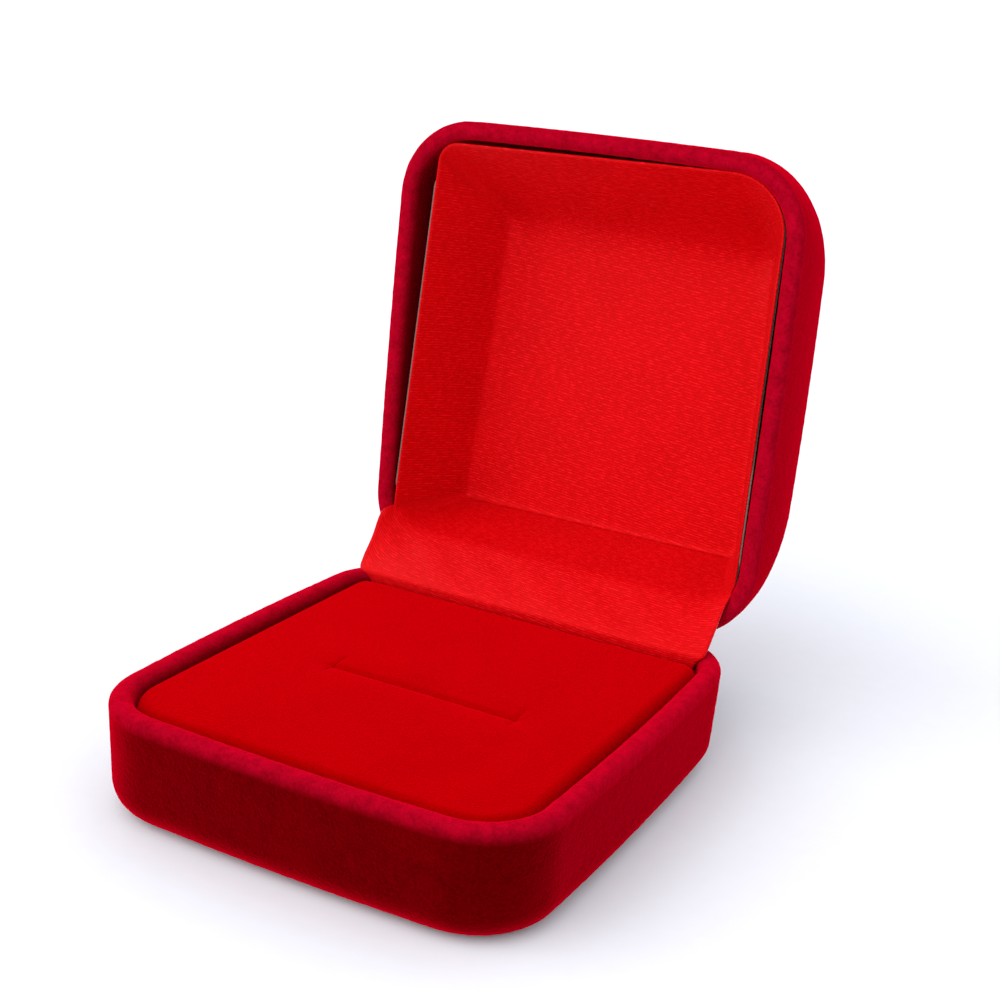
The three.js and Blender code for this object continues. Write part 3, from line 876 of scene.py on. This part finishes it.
def strip_faces(rows, columns):
    faces = []
    for i in range(rows - 1):
        for j in range(columns - 1):
            a = i * columns + j
            faces.append((a, a + 1, a + columns + 1, a + columns))
    return faces


def corner_rise(x):
    """How far the strip's ends are pushed forward, off the shell's rounded rear corners."""
    rise = np.zeros_like(x)
    for side, straight_to in STRAIGHT_TO:
        past = np.clip(side * x - straight_to, 0, CORNER_BEND * MOST_BEND)
        rise += CORNER_BEND - np.sqrt(CORNER_BEND**2 - past**2)
    return rise


def hinge_flap():
    """Satin strip: lies on the lining's back panel, crosses the hinge and tucks in behind the pad."""
    # [y, z, left edge, right edge, share of the corner rise] from the tail up, with the lid open
    free = [
        (23.9, 8.4, -22.2, 22.2, 0.0),
        (23.8, 11.0, -23.0, 23.0, 0.0),
        (23.75, 12.4, -23.8, 23.4, 0.0),
        (23.8, 13.3, -25.2, 24.2, 0.0),
        (24.7, 14.1, -25.5, 24.4, 0.1),
        (26.6, 15.4, -25.4, 24.4, 0.4),
        (28.8, 16.8, -25.3, 24.3, 0.8),
    ]
    # [y, height above the rim, left edge, right edge, share of the rise] on the panel, with the lid closed
    panel = [
        (24.85, 0.95, -24.6, 24.5, 1.0),
        (24.2, 3.4, -23.6, 23.7, 1.0),
        (22.95, 8.2, -21.6, 22.1, 0.6),
        (22.05, 11.9, -19.8, 20.6, 0.0),
    ]
    share = np.linspace(0, 1, FLAP_COLUMNS)
    rows = []
    for y, z, left, right, lift in free:
        x = left + (right - left) * share
        rows.append(np.stack([x, np.full_like(x, y), z + lift * corner_rise(x)], 1))
    for y, height, left, right, lift in panel:
        x = left + (right - left) * share
        closed = np.stack([x, y - lift * corner_rise(x), np.full_like(x, LID_RIM_Z + height)], 1)
        rows.append(opened(closed))
    path, at = smooth_path(rows, FLAP_ROWS)
    path += flap_ripple(path)
    cloth = path.copy()
    cloth[:, :, 1] = FLOOR_CORNERS[2][1] + at[-1] - at
    cloth[:, :, 2] = 0
    faces = strip_faces(FLAP_ROWS, FLAP_COLUMNS)
    flap = make_object("hinge_satin_flap", path.reshape(-1, 3), faces, SATIN)
    set_cloth(flap, cloth.reshape(-1, 3))
    if sum(p.normal.z for p in flap.data.polygons) < 0:
        flap.data.flip_normals()
    solidify(flap, FLAP_THICK)
    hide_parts("hinge_flap")
    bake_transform(flap)


def flap_ripple(path):
    """A slight slackness: the free span waves a little."""
    x, y = path[:, :, 0], path[:, :, 1]
    free = np.clip((y - RIPPLE_FROM) / RIPPLE_FADE, 0, 1) * np.clip((RIPPLE_TO - y) / RIPPLE_FADE, 0, 1)
    lift = free * (0.10 * np.sin(x * 0.35 + 1.0) + 0.05 * np.sin(x * 0.83 + y))
    return np.stack([np.zeros_like(lift), -0.6 * lift, 0.8 * lift], 2)


def snap_spring():
    """Bowed steel strip from one leaf to the other, blended across the hinge."""
    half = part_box("snap_spring")[1].x / MM
    route = [
        (26.05, 6.6),
        (26.05, 11.8),
        (26.65, 13.95),
        (27.9, 15.4),
        (29.6, 16.35),
        (30.9, 16.5),
        (35.9, 16.35),
    ]
    across = np.linspace(-half, half, SPRING_COLUMNS)
    rows = [np.array([(x, y, z) for x in across]) for y, z in route]
    path, _ = smooth_path(rows, SPRING_ROWS)
    faces = strip_faces(SPRING_ROWS, SPRING_COLUMNS)
    strip = make_object("snap_spring_strip", path.reshape(-1, 3), faces, SPRING_STEEL)
    solidify(strip, SPRING_THICK, 0.0)
    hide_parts("snap_spring")
    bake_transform(strip)


hinge_flap()
snap_spring()

# ---------------------------------------------------------------- metal and card from the frame

CARRIED = {
    "pad_card": CARD,
    "hinge_leaf_base": HINGE_STEEL,
    "hinge_leaf_lid": HINGE_STEEL,
    "hinge_pin": HINGE_STEEL,
    "rivet_base_left": HINGE_STEEL,
    "rivet_base_right": HINGE_STEEL,
    "rivet_lid_left": HINGE_STEEL,
    "rivet_lid_right": HINGE_STEEL,
}
for node_name, material in CARRIED.items():
    node = frame["nodes"][node_name]
    if not node.material_slots:
        node.data.materials.append(material)
    for material_slot in node.material_slots:
        material_slot.material = material

# ---------------------------------------------------------------- stage, light and camera

CAMERA_AT = (82.7, -149.0, 88.4)
CAMERA_TURN = 26.9
CAMERA_DIP = 17.5
CAMERA_ROLL = 4.3
FOCAL_SHARE = 1.603  # focal length over the picture's width
SENSOR = 36.0
NEAREST = 0.005  # what the camera clips in front, in metres
FLOOR_REACH = 3000
KEY_DIRECTION = (0.45, 0.8, -0.5)
KEY_SOFTNESS = 80
KEY_POWER = 2.1
KEY_COLOR = (1.0, 0.99, 0.98)
SKY_COLOR = (0.93, 0.95, 1.0)
SKY_POWER = 1.2


def floor_material():
    s = Shader("pale_floor")
    grain = s.noise(2.5, 3.0, 0.6)
    color = s.mix(grain, (0.77, 0.78, 0.815, 1), (0.80, 0.81, 0.84, 1))
    s.set(Base_Color=color, Roughness=0.75, Specular_IOR_Level=0.1)
    return s.material


def stage_floor():
    corners = ((-1, -1), (1, -1), (1, 1), (-1, 1))
    points = [(x * FLOOR_REACH, y * FLOOR_REACH, 0) for x, y in corners]
    floor = make_object("stage_floor", points, [(0, 1, 2, 3)], floor_material(), smooth=False)


def sun(name, direction, softness, power, color):
    light = bpy.data.lights.new(name, "SUN")
    light.energy = power
    light.angle = math.radians(softness)
    light.color = color
    obj = bpy.data.objects.new(name, light)
    bpy.context.scene.collection.objects.link(obj)
    obj.rotation_euler = Vector(direction).to_track_quat("-Z", "Y").to_euler()


def lights():
    sun("key", KEY_DIRECTION, KEY_SOFTNESS, KEY_POWER, KEY_COLOR)
    world = bpy.data.worlds.new("studio")
    bpy.context.scene.world = world
    world.use_nodes = True
    sky = world.node_tree.nodes["Background"]
    sky.inputs["Color"].default_value = (*SKY_COLOR, 1)
    sky.inputs["Strength"].default_value = SKY_POWER
    bpy.context.scene.view_settings.view_transform = "Standard"


def camera():
    turn, dip, roll = (math.radians(a) for a in (CAMERA_TURN, CAMERA_DIP, CAMERA_ROLL))
    ahead = Vector((-math.sin(turn) * math.cos(dip), math.cos(turn) * math.cos(dip), -math.sin(dip)))
    level = Vector((math.cos(turn), math.sin(turn), 0))
    above = level.cross(ahead)
    right = level * math.cos(roll) + above * math.sin(roll)
    up = above * math.cos(roll) - level * math.sin(roll)
    data = bpy.data.cameras.new("camera")
    data.sensor_width = SENSOR
    data.lens = SENSOR * FOCAL_SHARE
    data.clip_start = NEAREST
    obj = bpy.data.objects.new("camera", data)
    bpy.context.scene.collection.objects.link(obj)
    axes = Matrix((right, up, -ahead)).transposed()
    obj.matrix_world = Matrix.Translation(Vector(CAMERA_AT) * MM) @ axes.to_4x4()
    bpy.context.scene.camera = obj


stage_floor()
lights()
camera()
